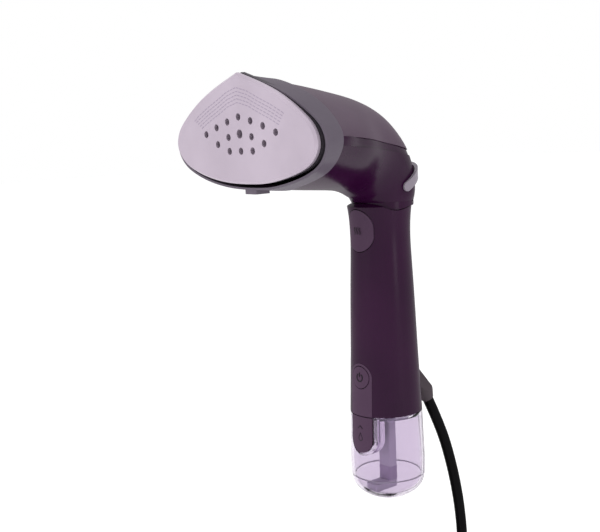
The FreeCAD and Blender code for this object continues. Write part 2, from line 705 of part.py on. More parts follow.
button_skin = handle_form(0.35).cut(handle_form(-HANDLE_WALL))
button = button_skin.common(rod(BUTTON_RADIUS, Vector(0, front_y, BUTTON_Z), Vector(0, 0, BUTTON_Z)))
button_stem_y = -handle_radius(BUTTON_Z) + HANDLE_WALL + 1.6
button = button.fuse(rod(2.0, Vector(0, -handle_radius(BUTTON_Z) + 1.0, BUTTON_Z),
                         Vector(0, button_stem_y, BUTTON_Z)))

REAR_HALF_ANGLE = 36.0
rear_reach = 60.0
spread = rear_reach * math.tan(math.radians(REAR_HALF_ANGLE))


def rear_sector(growth):
    corners = [Vector(0, -growth / math.sin(math.radians(REAR_HALF_ANGLE)), -62),
               Vector(spread, rear_reach, -62), Vector(-spread, rear_reach, -62)]
    face = Part.Face(Part.makePolygon(corners + corners[:1]))
    return face.extrude(Vector(0, 0, 62 + 50 + growth))


rear_cover = housing.common(rear_sector(0))
housing = housing.cut(rear_sector(SEAM_GAP))

# The guard is a wedge on the rear cover that narrows to the lead.
GUARD_HALF_WIDTH = 6.2
GUARD_END = Vector(0, 36.1, -61.6)
GUARD_END_RADIUS = 4.0
GUARD_LENGTH = 40.0
GUARD_SPREAD = 0.3
guard_side = [Vector(0, 16.0, -36.0), Vector(0, 20.4, -36.6), Vector(0, 41.4, -61.0),
              Vector(0, 32.0, -65.5), Vector(0, 16.0, -57.4)]
guard_face = Part.Face(Part.makePolygon(guard_side + guard_side[:1]))
guard = guard_face.extrude(Vector(2 * GUARD_HALF_WIDTH, 0, 0))
guard.translate(Vector(-GUARD_HALF_WIDTH, 0, 0))
guard_axis = (CORD_DROP_ROUTE[1] - CORD_DROP_ROUTE[0]).normalize()
guard_cone = Part.makeCone(GUARD_END_RADIUS + GUARD_SPREAD * GUARD_LENGTH, GUARD_END_RADIUS, GUARD_LENGTH,
                           GUARD_END - guard_axis * GUARD_LENGTH, guard_axis)
guard = guard.common(guard_cone)
tank_room = Part.makeCylinder(30, 60, Vector(0, 0, -120.5)).cut(box(-40, 40, 23.4, 80, -130, -50))
guard = guard.cut(handle_form(0.05)).cut(tank_room)

latch_skin = turned([(LATCH_BOTTOM - 4, 22.45)] + [(-72.0, 22.0), (-61.0, 21.75)])
latch_core = turned([(LATCH_BOTTOM - 4, 22.45 - LATCH_THICKNESS)] +
                    [(-72.0, 22.0 - LATCH_THICKNESS), (-61.0, 21.75 - LATCH_THICKNESS)])
latch_top = HANDLE_BOTTOM - 0.6
latch = latch_skin.cut(latch_core).common(
    hanging_prism(STRIP_HALF_WIDTH - 0.1, LATCH_BOTTOM, latch_top, front_y, 0))

save("handle_housing", housing)
save("handle_rear_cover", rear_cover)
save("front_strip", strip)
save("steam_trigger", trigger)
save("power_button", button)
save("cord_guard", guard)
save("tank_latch", latch)


# ---- hinge parts on the handle -------------------------------------------------------------

arm_foot = box(ARM_INNER, ARM_OUTER, -6.5, -1.9, HANDLE_TOP - 2.0, 74.4)
arm_beam = box(ARM_INNER, ARM_OUTER, -6.5, HINGE_Y, 70.3, 74.4)
arm = arm_foot.fuse(arm_beam).fuse(hinge_rod(ARM_EYE, ARM_INNER, ARM_OUTER))
arm = arm.cut(hinge_rod(PIN_RADIUS + 0.01, 0, 30))
bridge = box(-ARM_INNER, ARM_INNER, -6.5, -4.0, HANDLE_TOP - 2.0, HANDLE_TOP + 1.5)
bridge = bridge.cut(box(-4.5, 4.5, -8, 0, 60, 70))
yoke = arm.fuse(mirrored(arm)).fuse(bridge)
yoke_plate = Part.makeCylinder(HANDLE_MOUTH_RADIUS - 0.1, 2.0, Vector(0, 0, HANDLE_TOP - 2.6))
yoke_plate = yoke_plate.cut(box(-20, 20, -0.8, 30, 50, 80)).cut(box(-4.5, 4.5, -9, 5, 50, 80))
yoke = yoke.fuse(yoke_plate)
yoke = yoke.cut(pipe(HANDLE_MOUTH_RADIUS + 6.0, HANDLE_MOUTH_RADIUS - 0.1,
                     Vector(0, 0, HANDLE_TOP - 4.0), Vector(0, 0, HANDLE_TOP + 0.1)))
hinge_pin = hinge_rod(PIN_RADIUS, -PIN_REACH, PIN_REACH)

CRADLE_WALL = 1.6
cradle = about_hinge(KNUCKLE_PROFILE, KNUCKLE_CLEARANCE + CRADLE_WALL).cut(
    about_hinge(KNUCKLE_PROFILE, KNUCKLE_CLEARANCE))
cradle = cradle.common(Part.makeCylinder(HANDLE_MOUTH_RADIUS - 0.1, 5, Vector(0, 0, CAP_BASE - 0.5)))

SHIELD_RADIUS = 15.9
SHIELD_WALL = 1.4
shield_reach = 10.5
outer_back = math.sqrt(SHIELD_RADIUS ** 2 - shield_reach ** 2)
inner_radius = SHIELD_RADIUS - SHIELD_WALL
inner_back = math.sqrt(inner_radius ** 2 - shield_reach ** 2)
shield_edges = [
    Part.Arc(Vector(-shield_reach, NECK_CENTRE_Y - outer_back, HINGE_Z),
             Vector(0, NECK_CENTRE_Y - SHIELD_RADIUS, HINGE_Z),
             Vector(shield_reach, NECK_CENTRE_Y - outer_back, HINGE_Z)).toShape(),
    Part.makeLine(Vector(shield_reach, NECK_CENTRE_Y - outer_back, HINGE_Z),
                  Vector(shield_reach, NECK_CENTRE_Y - inner_back, HINGE_Z)),
    Part.Arc(Vector(shield_reach, NECK_CENTRE_Y - inner_back, HINGE_Z),
             Vector(0, NECK_CENTRE_Y - inner_radius, HINGE_Z),
             Vector(-shield_reach, NECK_CENTRE_Y - inner_back, HINGE_Z)).toShape(),
    Part.makeLine(Vector(-shield_reach, NECK_CENTRE_Y - inner_back, HINGE_Z),
                  Vector(-shield_reach, NECK_CENTRE_Y - outer_back, HINGE_Z))]
shield_face = Part.Face(Part.Wire(shield_edges))
hinge_point = Vector(0, HINGE_Y, HINGE_Z)
shield_face.rotate(hinge_point, Vector(1, 0, 0), 14)
neck_shield = shield_face.revolve(hinge_point, Vector(1, 0, 0), -34)
neck_shield = neck_shield.cut(box(-40, 40, -60, 60, 40, HANDLE_TOP + 0.05))

save("hinge_yoke", yoke)
save("hinge_pin", hinge_pin)
save("hinge_cradle", cradle)
save("neck_shield", neck_shield)


# ---- works inside the handle ---------------------------------------------------------------

RAIL_FRONT = 10.6
RAIL_BACK = 12.4
PUMP_Y = 1.0
PUMP_RADIUS = 8.5
PUMP_LOW = -12.0
PUMP_HIGH = 14.0

rail = box(-8.5, 8.5, RAIL_FRONT, RAIL_BACK, -50, 46)
for ring_z in (-6.0, 5.0):
    ring = pipe(10.0, PUMP_RADIUS + 0.05, Vector(0, PUMP_Y, ring_z), Vector(0, PUMP_Y, ring_z + 4))
    rail = rail.fuse(ring)

pump = rod(PUMP_RADIUS, Vector(0, PUMP_Y, PUMP_LOW), Vector(0, PUMP_Y, PUMP_HIGH))
for plate_z in (PUMP_LOW - 1.5, PUMP_HIGH):
    pump = pump.fuse(box(-9, 9, PUMP_Y - 9, PUMP_Y + 9, plate_z, plate_z + 1.5))
pump = pump.fuse(rod(2.5, Vector(0, PUMP_Y, PUMP_LOW - 6), Vector(0, PUMP_Y, PUMP_LOW)))
pump = pump.fuse(rod(2.5, Vector(0, PUMP_Y, PUMP_HIGH), Vector(0, PUMP_Y, PUMP_HIGH + 6)))

inlet_tube = bent_tube([Vector(0, PUMP_Y, PUMP_LOW - 6.1), Vector(0, 2.2, -28), Vector(0, 0.8, -38),
                        Vector(0, 0, -46.9)], 3.0, 1.7)
outlet_tube = bent_tube([Vector(0, PUMP_Y, PUMP_HIGH + 6.1), Vector(0, 3.0, 33), Vector(0, 2.4, 45),
                         Vector(0, -3.6, 55), Vector(0, -4.6, 63.4)], 3.0, 1.7)

BOARD_FRONT = -12.6
board = box(-9, 9, BOARD_FRONT, BOARD_FRONT + 1.6, -50.3, -18)
board = board.fuse(box(-7, 1, BOARD_FRONT + 1.6, BOARD_FRONT + 7.6, -31, -20))
board = board.fuse(rod(2.5, Vector(5.5, BOARD_FRONT + 1.6, -25), Vector(5.5, BOARD_FRONT + 8.6, -25)))
board = board.fuse(box(-8, 8, BOARD_FRONT + 1.6, BOARD_FRONT + 6.0, -50, -45))

tact_front = button_stem_y + BUTTON_TRAVEL + 0.15
button_switch = box(-3, 3, BOARD_FRONT - 2.2, BOARD_FRONT - 0.02, BUTTON_Z - 3, BUTTON_Z + 3)
button_switch = button_switch.fuse(rod(1.4, Vector(0, tact_front, BUTTON_Z),
                                       Vector(0, BOARD_FRONT - 1, BUTTON_Z)))

switch_front = stem_y + TRIGGER_TRAVEL + 0.3
trigger_switch = box(-3.2, 3.2, switch_front, switch_front + 6.0, TRIGGER_Z - 10, TRIGGER_Z - 1.8)
trigger_switch = trigger_switch.fuse(box(-6.5, 6.5, switch_front + 2, switch_front + 4,
                                         TRIGGER_Z - 9, TRIGGER_Z - 6))
# Leaf spring folded from a strip: side view as reach in front of the switch and height.
LEAF_SIDE = [(0.1, -6.8), (0.1, -9.9), (0.8, -9.9), (3.7, -7.2), (3.4, -6.9), (0.75, -9.4),
             (0.5, -9.4), (0.5, -6.8)]
LEAF_WIDTH = 5.0
leaf = [Vector(-LEAF_WIDTH / 2, switch_front - reach, TRIGGER_Z + rise) for reach, rise in LEAF_SIDE]
trigger_spring = Part.Face(Part.makePolygon(leaf + leaf[:1])).extrude(Vector(LEAF_WIDTH, 0, 0))

SPIGOT_RADIUS = 3.0
DOCK_LOW = -53.0
dock = Part.makeCylinder(18.7, 2.4, Vector(0, 0, DOCK_LOW))
dock = dock.fuse(rod(SPIGOT_RADIUS, Vector(0, 0, -59.0), Vector(0, 0, -47.0)))
dock = dock.cut(rod(1.6, Vector(0, 0, -70), Vector(0, 0, -40)))
dock_seal = pipe(4.9, SPIGOT_RADIUS + 0.02, Vector(0, 0, -57.6), Vector(0, 0, -55.8))
clamp = box(-6, 6, RAIL_BACK + 0.05, 16.6, -49, -41)
clamp = clamp.cut(rod(CORD_RADIUS, Vector(0, 18.2, -60), Vector(0, 18.2, -30)))

save("chassis_rail", rail)
save("water_pump", pump)
save("pump_inlet_tube", inlet_tube)
save("pump_outlet_tube", outlet_tube)
save("control_board", board)
save("button_switch", button_switch)
save("trigger_switch", trigger_switch)
save("trigger_spring", trigger_spring)
save("tank_dock", dock)
save("dock_seal", dock_seal)
save("cord_clamp", clamp)


# ---- water tank ----------------------------------------------------------------------------

def tank_form(wall):
    points = [Vector(0, 0, TANK_FLOOR + wall)]
    for z, r, lift, pull in reversed(TANK_CORNERS):
        points.append(Vector(r - wall * pull, 0, z + wall * lift))
    for z, r in reversed(TANK_PROFILE):
        points.append(Vector(r - wall, 0, z))
    side = spline(points, Vector(1, 0, 0), Vector(-0.03, 0, 1))
    top = points[-1]
    edges = [side, Part.makeLine(top, Vector(0, 0, top.z)), Part.makeLine(Vector(0, 0, top.z), points[0])]
    return Part.Face(Part.Wire(edges)).revolve(Vector(), Vector(0, 0, 1), 360)


tank_outer = tank_form(0)
tank = tank_outer.cut(tank_form(TANK_WALL))
neck_bore = TANK_NECK_RADIUS - 1.6
shoulder = pipe(21.0, neck_bore, Vector(0, 0, TANK_TOP - 2.0), Vector(0, 0, TANK_TOP))
neck = pipe(TANK_NECK_RADIUS, neck_bore, Vector(0, 0, TANK_TOP - 2.0), Vector(0, 0, TANK_NECK_TOP))
tank = tank.fuse(shoulder).fuse(neck)
POCKET_GAP = 0.6
pocket_half = STRIP_HALF_WIDTH - 0.1 + POCKET_GAP
floor_shift = LATCH_TRAVEL + 0.3
floor_radius = 22.0 - LATCH_THICKNESS - 0.3
pocket_floor = Part.makeCylinder(floor_radius, 60, Vector(0, floor_shift, -110))
pocket = hanging_prism(pocket_half, LATCH_BOTTOM - POCKET_GAP, -58, -40, 0).cut(pocket_floor)
backing = hanging_prism(pocket_half + 1.5, LATCH_BOTTOM - POCKET_GAP - 1.5, TANK_TOP - 0.05, -40, 0)
backing = backing.cut(Part.makeCylinder(floor_radius - 1.6, 60, Vector(0, floor_shift, -110)))
tank = tank.fuse(backing.common(tank_outer)).cut(pocket)

SOCKET_RADIUS = 6.4
SOCKET_BORE = 5.1
cap = Part.makeCylinder(neck_bore - 0.1, 2.2, Vector(0, 0, -60.4))
cap = cap.fuse(Part.makeCylinder(SOCKET_RADIUS, 6.0, Vector(0, 0, -60.4)))
cap = cap.cut(Part.makeCylinder(SOCKET_BORE, 20, Vector(0, 0, -59.4)))
cap = cap.cut(rod(1.8, Vector(0, 0, -70), Vector(0, 0, -50)))
stopper_y = 9.8
cap = cap.cut(rod(2.2, Vector(0, stopper_y, -70), Vector(0, stopper_y, -50)))
stopper = rod(2.15, Vector(0, stopper_y, -60.4), Vector(0, stopper_y, -57)).fuse(
    rod(3.0, Vector(0, stopper_y, -58.15), Vector(0, stopper_y, -56.6)))
tank_seal = pipe(TANK_NECK_RADIUS, neck_bore, Vector(0, 0, TANK_NECK_TOP + 0.05),
                 Vector(0, 0, DOCK_LOW - 0.15))

COLUMN_LOW = -104.5
column = box(-4.75, 4.75, -3.2, 3.2, COLUMN_LOW, -60.5)
column = column.makeFillet(1.2, [e for e in column.Edges if e.BoundBox.ZLength > 10])
column = column.cut(rod(1.8, Vector(0, 0, -120), Vector(0, 0, -50)))
foot = box(-4.75, 4.75, -14.5, 3.2, COLUMN_LOW - 4.6, COLUMN_LOW - 0.05)
foot = foot.makeFillet(1.5, [e for e in foot.Edges if e.BoundBox.ZLength > 4])
foot = foot.cut(box(-3.4, 3.4, -13.0, 1.8, COLUMN_LOW - 5, COLUMN_LOW - 1.4))
foot = foot.cut(rod(1.8, Vector(0, 0, -120), Vector(0, 0, -50)))

save("water_tank", tank)
save("tank_cap", cap)
save("filler_stopper", stopper)
save("tank_seal", tank_seal)
save("suction_column", column)
save("suction_foot", foot)


# ---- mains lead ----------------------------------------------------------------------------

coil_low = LYING_Z + TIE_THICKNESS + 0.1
coil = pipe(COIL_OUTER_RADIUS, COIL_INNER_RADIUS, COIL_CENTRE + Vector(0, 0, coil_low),
            COIL_CENTRE + Vector(0, 0, coil_low + COIL_HEIGHT))
coil = coil.makeFillet(3.0, [e for e in coil.Edges if e.BoundBox.ZLength < 0.01])
cord_drop = bent_tube(CORD_DROP_ROUTE, CORD_RADIUS, report="cord_drop")
cord_tail = bent_tube(CORD_TAIL_ROUTE, CORD_RADIUS, report="cord_tail")

middle = (COIL_INNER_RADIUS + COIL_OUTER_RADIUS) / 2
half_across = (COIL_OUTER_RADIUS - COIL_INNER_RADIUS) / 2
tie_at = COIL_CENTRE + Vector(0, middle, 0)
tie = box(-TIE_WIDTH / 2, TIE_WIDTH / 2, -half_across - 1.4, half_across + 1.4,
          LYING_Z, LYING_Z + COIL_HEIGHT + 2.4)
tie = tie.cut(box(-TIE_WIDTH, TIE_WIDTH, -half_across - 0.4, half_across + 0.4,
                  coil_low - 0.05, coil_low + COIL_HEIGHT + 0.15))
tie.translate(tie_at)

plug_axis = (CORD_TAIL_ROUTE[-1] - CORD_TAIL_ROUTE[-2])
plug_axis = Vector(plug_axis.x, plug_axis.y, 0).normalize()
plug_side = Vector(-plug_axis.y, plug_axis.x, 0)
plug_start = CORD_TAIL_ROUTE[-1]
PLUG_SECTIONS = [(0.05, 4.6, 4.6), (11.0, 6.4, 6.0), (20.0, 15.5, 11.6), (27.0, 18.0, 13.1),
                 (38.0, 18.2, 13.2)]


def plug_ring(reach, half_width, half_height):
    centre = plug_start + plug_axis * reach
    if half_width == half_height:
        return Part.Wire(Part.Circle(centre, plug_axis, half_width).toShape())
    top = centre + Vector(0, 0, half_height)
    oval = Part.Ellipse(centre + plug_side * half_width, top, centre)
    return Part.Wire(oval.toShape())


plug = Part.makeLoft([plug_ring(*section) for section in PLUG_SECTIONS], True, False)
plug_face = plug_start + plug_axis * PLUG_SECTIONS[-1][0]
pins = []
for side in (-1, 1):
    root = plug_face + plug_side * (side * PIN_SPACING / 2)
    shoulder_at = root + plug_axis * PIN_SHOULDER
    pin = rod(PLUG_PIN_RADIUS, shoulder_at, root + plug_axis * PLUG_PIN_LENGTH)
    pins.append(pin.fuse(rod(PIN_ROOT_RADIUS, root - plug_axis * PIN_ROOT_DEPTH, shoulder_at)))
pins = Part.makeCompound(pins)
plug = plug.cut(pins)

save("cord_coil", coil)
save("cord_drop", cord_drop)
save("cord_tail", cord_tail)
save("cord_tie", tie)
save("power_plug", plug)
save("plug_pins", pins)
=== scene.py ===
import json
import math

import bmesh
import bpy
from mathutils import Matrix, Vector


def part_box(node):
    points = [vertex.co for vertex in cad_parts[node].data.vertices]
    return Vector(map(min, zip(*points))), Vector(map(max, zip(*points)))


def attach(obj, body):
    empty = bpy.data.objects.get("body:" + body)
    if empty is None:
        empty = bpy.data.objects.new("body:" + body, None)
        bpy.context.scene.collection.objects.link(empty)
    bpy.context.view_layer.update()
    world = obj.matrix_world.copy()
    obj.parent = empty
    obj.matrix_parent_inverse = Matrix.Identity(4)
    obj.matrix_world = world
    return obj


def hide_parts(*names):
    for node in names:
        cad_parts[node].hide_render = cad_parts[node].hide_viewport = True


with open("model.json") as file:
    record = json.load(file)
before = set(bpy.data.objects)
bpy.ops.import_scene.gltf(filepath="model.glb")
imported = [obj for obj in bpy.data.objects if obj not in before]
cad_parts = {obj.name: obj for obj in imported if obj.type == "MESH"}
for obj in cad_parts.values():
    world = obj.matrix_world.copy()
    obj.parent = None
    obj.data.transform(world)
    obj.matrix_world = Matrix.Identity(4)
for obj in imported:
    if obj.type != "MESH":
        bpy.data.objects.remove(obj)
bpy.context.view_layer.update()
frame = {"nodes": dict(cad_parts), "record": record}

# Garment steamer, in metres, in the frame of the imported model: +Z up along the handle,
# the origin in the middle of the grip, the steam plate facing -Y.

MM = 0.001
NODES = frame["nodes"]


# ---- camera --------------------------------------------------------------------------------

CAMERA_PLACE = Vector((423.7, -413.5, 112.4)) * MM
CAMERA_AZIMUTH = math.radians(50.36)
CAMERA_ELEVATION = math.radians(8.10)
CAMERA_ROLL = math.radians(-2.64)
CAMERA_LENS = 60.4
SENSOR_WIDTH = 36.0
CLIP_NEAR = 0.01
CLIP_FAR = 20.0


def make_camera():
    sin_a, cos_a = math.sin(CAMERA_AZIMUTH), math.cos(CAMERA_AZIMUTH)
    sin_e, cos_e = math.sin(CAMERA_ELEVATION), math.cos(CAMERA_ELEVATION)
    back = Vector((sin_a * cos_e, -cos_a * cos_e, sin_e))
    level = Vector((cos_a, sin_a, 0))
    above = back.cross(level)
    right = level * math.cos(CAMERA_ROLL) + above * math.sin(CAMERA_ROLL)
    up = back.cross(right)
    data = bpy.data.cameras.new("camera")
    data.lens = CAMERA_LENS
    data.sensor_width = SENSOR_WIDTH
    data.clip_start, data.clip_end = CLIP_NEAR, CLIP_FAR
    camera = bpy.data.objects.new("camera", data)
    bpy.context.scene.collection.objects.link(camera)
    turn = Matrix((right, up, back)).transposed().to_4x4()
    camera.matrix_world = Matrix.Translation(CAMERA_PLACE) @ turn
    bpy.context.scene.camera = camera


# ---- helpers -------------------------------------------------------------------------------

def add_object(name, data, body):
    piece = bpy.data.objects.new(name, data)
    bpy.context.scene.collection.objects.link(piece)
    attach(piece, body)
    return piece


def mesh_piece(name, body, vertices, faces, material, smooth=False):
    data = bpy.data.meshes.new(name)
    data.from_pydata([tuple(v) for v in vertices], [], faces)
    data.validate()
    data.materials.append(material)
    shape = bmesh.new()
    shape.from_mesh(data)
    bmesh.ops.recalc_face_normals(shape, faces=shape.faces)
    shape.to_mesh(data)
    shape.free()
    for face in data.polygons:
        face.use_smooth = smooth
    return add_object(name, data, body)


class Builder:
    """Collects the faces of many small closed ribbons in one mesh."""

    TOP_SHARE = 0.8

    def __init__(self):
        self.vertices = []
        self.faces = []

    def ribbon(self, centres, sides, outs, half_width, height, depth, closed=False):
        """Raised line along centres: sides point across it and outs away from the surface."""
        start = len(self.vertices)
        for centre, side, out in zip(centres, sides, outs):
            self.vertices += [centre - side * half_width - out * depth,
                              centre - side * half_width * self.TOP_SHARE + out * height,
                              centre + side * half_width * self.TOP_SHARE + out * height,
                              centre + side * half_width - out * depth]
        count = len(centres)
        for i in range(count if closed else count - 1):
            a, b = start + 4 * i, start + 4 * ((i + 1) % count)
            for k in range(4):
                n = (k + 1) % 4
                self.faces.append((a + k, a + n, b + n, b + k))
        if not closed:
            end = start + 4 * (count - 1)
            self.faces.append((start + 3, start + 2, start + 1, start))
            self.faces.append((end, end + 1, end + 2, end + 3))


# ---- materials -----------------------------------------------------------------------------

COAT_ROUGHNESS = 0.22
GRAIN_HEIGHT = 0.0002
FLOW_HEIGHT = 0.0004
FINE_DEPTH = 0.05
TINT_SCALE = 18
CLEAR_IOR = 1.3


def shader(name):
    material = bpy.data.materials.new(name)
    material.use_nodes = True
    nodes = material.node_tree.nodes
    nodes.clear()
    output = nodes.new("ShaderNodeOutputMaterial")
    principled = nodes.new("ShaderNodeBsdfPrincipled")
    material.node_tree.links.new(principled.outputs["BSDF"], output.inputs["Surface"])
    return material, principled


def noise(material, scale, detail=3.0, stretch=(1, 1, 1)):
    tree = material.node_tree
    place = tree.nodes.new("ShaderNodeTexCoord")
    mapping = tree.nodes.new("ShaderNodeMapping")
    mapping.inputs["Scale"].default_value = stretch
    texture = tree.nodes.new("ShaderNodeTexNoise")
    texture.inputs["Scale"].default_value = scale
    texture.inputs["Detail"].default_value = detail
    tree.links.new(place.outputs["Object"], mapping.inputs["Vector"])
    tree.links.new(mapping.outputs["Vector"], texture.inputs["Vector"])
    return texture.outputs["Fac"]


def ramp(material, value, stops):
    tree = material.node_tree
    node = tree.nodes.new("ShaderNodeValToRGB")
    elements = node.color_ramp.elements
    while len(elements) < len(stops):
        elements.new(0.5)
    for element, (position, colour) in zip(elements, stops):
        element.position = position
        element.color = (*colour, 1)
    tree.links.new(value, node.inputs["Fac"])
    return node.outputs["Color"]


def spread(material, value, low, high):
    tree = material.node_tree
    node = tree.nodes.new("ShaderNodeMapRange")
    node.inputs["To Min"].default_value = low
    node.inputs["To Max"].default_value = high
    tree.links.new(value, node.inputs["Value"])
    return node.outputs["Result"]


def bump(material, principled, value, strength, distance):
    tree = material.node_tree
    node = tree.nodes.new("ShaderNodeBump")
    node.inputs["Strength"].default_value = strength
    node.inputs["Distance"].default_value = distance
    tree.links.new(value, node.inputs["Height"])
    tree.links.new(node.outputs["Normal"], principled.inputs["Normal"])


def plastic(name, dark, light, rough, shine=0.15, coat=0.0, grain=900, grain_depth=0.06):
    """Moulded plastic: clouded colour, uneven gloss and a fine grain."""
    material, principled = shader(name)
    tree = material.node_tree
    tint = ramp(material, noise(material, TINT_SCALE), [(0.35, dark), (0.65, light)])
    tree.links.new(tint, principled.inputs["Base Color"])
    gloss = spread(material, noise(material, 140, 4.0), rough * 0.85, rough * 1.15)
    tree.links.new(gloss, principled.inputs["Roughness"])
    principled.inputs["Specular IOR Level"].default_value = shine
    principled.inputs["Coat Weight"].default_value = coat
    principled.inputs["Coat Roughness"].default_value = COAT_ROUGHNESS
    bump(material, principled, noise(material, grain, 2.0), grain_depth, GRAIN_HEIGHT)
    return material


def metal(name, dark, light, rough, stretch=(1, 1, 1), metallic=1.0, grain=400):
    material, principled = shader(name)
    tree = material.node_tree
    tint = ramp(material, noise(material, 30, stretch=stretch), [(0.3, dark), (0.7, light)])
    tree.links.new(tint, principled.inputs["Base Color"])
    gloss = spread(material, noise(material, 200, 4.0, stretch=stretch), rough * 0.8, rough * 1.2)
    tree.links.new(gloss, principled.inputs["Roughness"])
    principled.inputs["Metallic"].default_value = metallic
    bump(material, principled, noise(material, grain, stretch=stretch), FINE_DEPTH,
         GRAIN_HEIGHT)
    return material


def clear_plastic(name, tint, rough):
    """Clear moulded plastic with faint flow marks."""
    material, principled = shader(name)
    tree = material.node_tree
    low = tuple(channel * 0.97 for channel in tint)
    colour = ramp(material, noise(material, 25), [(0.3, low), (0.7, tint)])
    tree.links.new(colour, principled.inputs["Base Color"])
    gloss = spread(material, noise(material, 60, 2.0), rough * 0.7, rough * 1.3)
    tree.links.new(gloss, principled.inputs["Roughness"])
    principled.inputs["Transmission Weight"].default_value = 1.0
    principled.inputs["IOR"].default_value = CLEAR_IOR
    bump(material, principled, noise(material, 55, 2.0), FINE_DEPTH, FLOW_HEIGHT)
    return material


def make_materials():
    return {
        "aubergine_gloss": plastic("aubergine_gloss", (0.019, 0.0020, 0.019), (0.026, 0.0030, 0.025),
                                   0.28, shine=0.0, coat=0.3),
        "mauve_gloss": plastic("mauve_gloss", (0.072, 0.043, 0.070), (0.087, 0.054, 0.085),
                               0.34, shine=0.0, coat=0.24),
        "bezel_plastic": plastic("bezel_plastic", (0.104, 0.086, 0.112), (0.124, 0.104, 0.132), 0.42,
                                 shine=0.0, coat=0.18),
        "plate_metal": metal("plate_metal", (0.415, 0.350, 0.422), (0.475, 0.405, 0.484), 0.38,
                             metallic=0.35, grain=1200),
        "control_plastic": plastic("control_plastic", (0.062, 0.032, 0.062), (0.075, 0.040, 0.074), 0.42,
                                   shine=0.0, coat=0.2),
        "slider_plastic": plastic("slider_plastic", (0.215, 0.185, 0.225), (0.26, 0.225, 0.27), 0.36),
        "tank_clear": clear_plastic("tank_clear", (0.735, 0.670, 0.770), 0.06),
        "column_plastic": plastic("column_plastic", (0.52, 0.46, 0.58), (0.58, 0.51, 0.64), 0.4),
        # A darker copy of column_plastic: painted shade on the lower part of the suction column.
        "column_painted_shade": plastic("column_painted_shade", (0.37, 0.285, 0.43), (0.42, 0.33, 0.48), 0.4),
        "rib_plastic": plastic("rib_plastic", (0.42, 0.37, 0.47), (0.48, 0.43, 0.53), 0.4),
        "dark_plastic": plastic("dark_plastic", (0.012, 0.012, 0.013), (0.02, 0.02, 0.021), 0.5),
        "guard_rubber": plastic("guard_rubber", (0.052, 0.040, 0.048), (0.064, 0.050, 0.059), 0.5,
                                shine=0.0, coat=0.12),
        "cord_black": plastic("cord_black", (0.0018, 0.0016, 0.0019), (0.003, 0.0026, 0.0032), 0.42,
                              shine=0.0, coat=0.1, grain=1500, grain_depth=0.15),
        "seal_rubber": plastic("seal_rubber", (0.060, 0.052, 0.064), (0.075, 0.065, 0.080), 0.6),
        "tube_silicone": plastic("tube_silicone", (0.52, 0.52, 0.50), (0.6, 0.6, 0.58), 0.4),
        "cast_aluminium": metal("cast_aluminium", (0.50, 0.50, 0.52), (0.60, 0.60, 0.62), 0.5),
        "steel": metal("steel", (0.50, 0.50, 0.51), (0.58, 0.58, 0.59), 0.28, stretch=(1, 1, 12)),
        "board_green": plastic("board_green", (0.012, 0.09, 0.03), (0.02, 0.13, 0.045), 0.4),
        "pump_body": metal("pump_body", (0.32, 0.33, 0.35), (0.38, 0.39, 0.41), 0.4, metallic=0.6),
        "pin_nickel": metal("pin_nickel", (0.62, 0.60, 0.56), (0.70, 0.68, 0.64), 0.2),
        "ink_dark": plastic("ink_dark", (0.008, 0.005, 0.009), (0.012, 0.008, 0.013), 0.5),
        "emboss": plastic("emboss", (0.30, 0.25, 0.33), (0.35, 0.30, 0.38), 0.45),
    }


# ---- mains lead ----------------------------------------------------------------------------

CORD_RADIUS = 3.4 * MM
FLOOR_Z = -205.0 * MM
CORD_LIE = -200.5
CORD_DROP = [(0, 36.2, -61.8), (0, 47.8, -83.4), (0, 56.0, -106.6), (0, 61.8, -129.2),
             (0, 65.0, -150.0), (0, 66.0, -168.5), (0, 60.4, -183.2), (0, 49.2, -194.4),
             (0, 34.5, CORD_LIE), (-0.3, 18.0, CORD_LIE)]
CORD_TAIL = [(-62.0, -45.3, -187.3), (-79.0, -48.0, -191.5), (-92.5, -52.0, -193.6),
             (-104.5, -56.5, -191.6)]
COIL_CENTRE = Vector((-45.8, 0.0))
COIL_COLUMNS = (30.4, 37.5, 44.6)
LAYER_RISE = 6.9
COIL_LAYERS = (CORD_LIE, CORD_LIE + LAYER_RISE, CORD_LIE + 2 * LAYER_RISE)

# The places of the turns in the coil's section, as (column, layer), in the order of winding.
COIL_ORDER = [(2, 0), (1, 0), (0, 0), (0, 1), (0, 2), (1, 2), (1, 1), (2, 1), (2, 2)]

# Angles at which the lead starts to move over to the next place, and how far it takes.
COIL_MOVES = (322, 644, 966, 1288, 1610, 1800, 1990, 2350)
COIL_SHIFT = 38.0
COIL_TOTAL = 2610.0
COIL_STEP = 15.0


def coil_points():
    """Turns wound clockwise seen from above, each moving over to the next place in the section."""
    points = []
    angle = 0.0
    while angle <= COIL_TOTAL:
        turn = max(sum(angle >= start for start in COIL_MOVES) - 1, 0)
        share = min(max((angle - COIL_MOVES[turn]) / COIL_SHIFT, 0.0), 1.0)
        share = share * share * (3 - 2 * share)
        (column_a, layer_a), (column_b, layer_b) = COIL_ORDER[turn], COIL_ORDER[turn + 1]
        radius = COIL_COLUMNS[column_a] * (1 - share) + COIL_COLUMNS[column_b] * share
        height = COIL_LAYERS[layer_a] * (1 - share) + COIL_LAYERS[layer_b] * share
        at = math.radians(-angle)
        points.append((COIL_CENTRE.x + radius * math.cos(at),
                       COIL_CENTRE.y + radius * math.sin(at), height))
        angle += COIL_STEP
    return points


